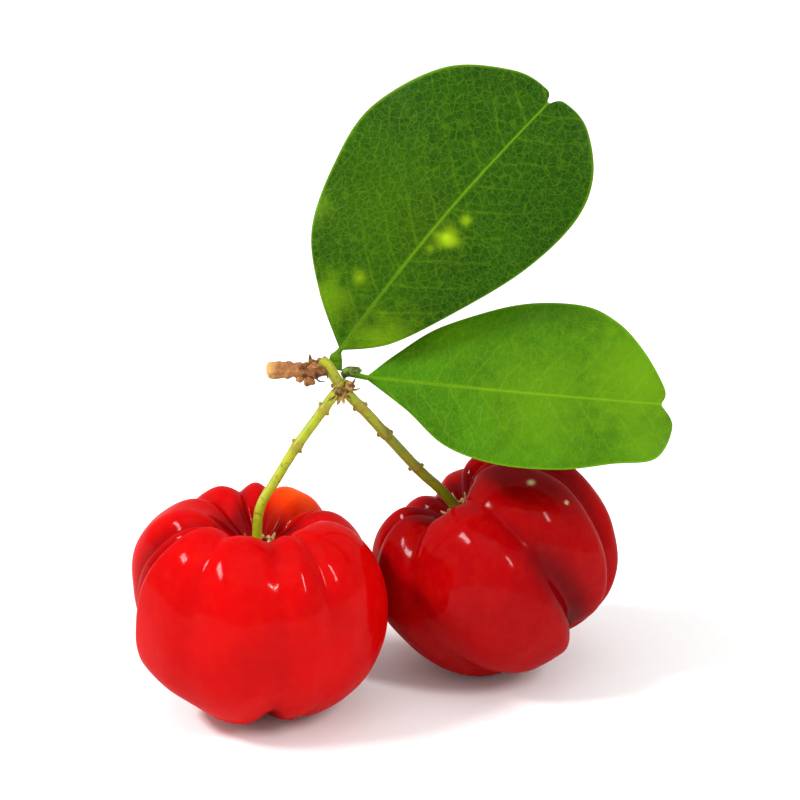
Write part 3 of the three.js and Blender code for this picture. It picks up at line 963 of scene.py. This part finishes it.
class ACEROLA_OT_leaves(bpy.types.Operator):
    """Model both leaves, each with blade, midrib and petiole grown as one"""

    bl_idname = "acerola.leaves"
    bl_label = "Leaves"

    def execute(self, context):
        settings = context.scene.acerola_leaf
        make_leaf("leaf_upper", UPPER_LEAF, tuple(settings.dark), 0.42, "leaf_dark")
        make_leaf("leaf_lower", LOWER_LEAF, tuple(settings.light), 0.38, "leaf_light")
        return {"FINISHED"}


# ---------------------------------------------------------------- stage


def softbox(name, direction, distance, size, power):
    """A square studio light that faces the middle of the sprig."""
    lamp = bpy.data.lights.new(name, "AREA")
    lamp.shape = "RECTANGLE"
    lamp.size, lamp.size_y = size
    lamp.energy = power
    holder = bpy.data.objects.new(name, lamp)
    target = sprig_middle()
    holder.location = target + Vector(direction).normalized() * distance
    holder.rotation_euler = (target - holder.location).to_track_quat("-Z", "Y").to_euler()
    bpy.context.scene.collection.objects.link(holder)


def sprig_middle():
    """Middle of the CAD model's box."""
    low, high = cad_bounds
    return (low + high) / 2


class ACEROLA_OT_stage(bpy.types.Operator):
    """Set the white card, the soft studio lights and the camera"""

    bl_idname = "acerola.stage"
    bl_label = "Stage"

    CARD_HALF = 1.6
    CARD_DROP = 0.02 * MM
    SWEEP_START = 0.9
    SWEEP_STEEPNESS = 1.6

    def execute(self, context):
        settings = context.scene.acerola_stage
        bm = bmesh.new()
        bmesh.ops.create_grid(bm, x_segments=8, y_segments=96, size=self.CARD_HALF)
        for vert in bm.verts:
            beyond = max(0.0, vert.co.y - self.SWEEP_START)
            vert.co.z = self.SWEEP_STEEPNESS * beyond ** 2 - self.CARD_DROP
        mesh = bpy.data.meshes.new("studio_card")
        bm.to_mesh(mesh)
        bm.free()
        mesh.shade_smooth()
        mesh.materials.append(studio_card_material(tuple(settings.card)))
        card = bpy.data.objects.new("studio_card", mesh)
        context.scene.collection.objects.link(card)

        softbox("left_softbox", (-0.72, -0.2, 0.75), 0.6, (0.2, 0.08), 3.6)
        softbox("right_softbox", (0.55, -0.5, 0.65), 0.6, (0.025, 0.2), 1.6)
        softbox("top_softbox", (0.0, -0.3, 1.0), 0.8, (0.7, 0.7), 1.0)

        world = bpy.data.worlds.new("white_studio")
        world.use_nodes = True
        world.node_tree.nodes["Background"].inputs["Color"].default_value = (1.0, 1.0, 1.0, 1.0)
        world.node_tree.nodes["Background"].inputs["Strength"].default_value = 0.8
        context.scene.world = world
        context.scene.view_settings.view_transform = "Standard"

        lens = bpy.data.cameras.new("camera")
        lens.lens = settings.lens
        camera = bpy.data.objects.new("camera", lens)
        target = sprig_middle()
        sight = Vector((0.0, math.cos(settings.elevation), -math.sin(settings.elevation)))
        camera.location = target - sight * settings.distance
        camera.rotation_euler = sight.to_track_quat("-Z", "Y").to_euler()
        context.scene.collection.objects.link(camera)
        context.scene.camera = camera
        return {"FINISHED"}


# ---------------------------------------------------------------- panel and registration

OPERATORS = (
    ACEROLA_OT_fruit, ACEROLA_OT_calyx, ACEROLA_OT_stalks, ACEROLA_OT_fork, ACEROLA_OT_twig,
    ACEROLA_OT_bud, ACEROLA_OT_leaves, ACEROLA_OT_stage,
)
SETTINGS = {
    "acerola_fruit": FruitSettings, "acerola_leaf": LeafSettings,
    "acerola_wood": WoodSettings, "acerola_stage": StageSettings,
}


class ACEROLA_PT_panel(bpy.types.Panel):
    """Lists the pieces and their settings"""

    bl_label = "Acerola Sprig"
    bl_idname = "ACEROLA_PT_panel"
    bl_space_type = "VIEW_3D"
    bl_region_type = "UI"
    bl_category = "Acerola"

    def draw(self, context):
        for key, group in SETTINGS.items():
            box = self.layout.box()
            for name in group.__annotations__:
                box.prop(getattr(context.scene, key), name)
        for operator in OPERATORS:
            self.layout.operator(operator.bl_idname)


def register():
    """Adds the add-on's classes and settings to Blender."""
    for group in SETTINGS.values():
        bpy.utils.register_class(group)
    for cls in (*OPERATORS, ACEROLA_PT_panel):
        bpy.utils.register_class(cls)
    for key, group in SETTINGS.items():
        setattr(bpy.types.Scene, key, PointerProperty(type=group))


def unregister():
    """Takes the add-on's classes and settings out of Blender."""
    for key in SETTINGS:
        delattr(bpy.types.Scene, key)
    for cls in (ACEROLA_PT_panel, *OPERATORS):
        bpy.utils.unregister_class(cls)
    for group in SETTINGS.values():
        bpy.utils.unregister_class(group)


def main():
    """Builds the sprig and its stage."""
    register()
    bpy.ops.acerola.fruit()
    bpy.ops.acerola.calyx()
    bpy.ops.acerola.stalks()
    bpy.ops.acerola.fork()
    bpy.ops.acerola.twig()
    bpy.ops.acerola.bud()
    bpy.ops.acerola.leaves()
    bpy.ops.acerola.stage()


if __name__ == "__main__":
    main()
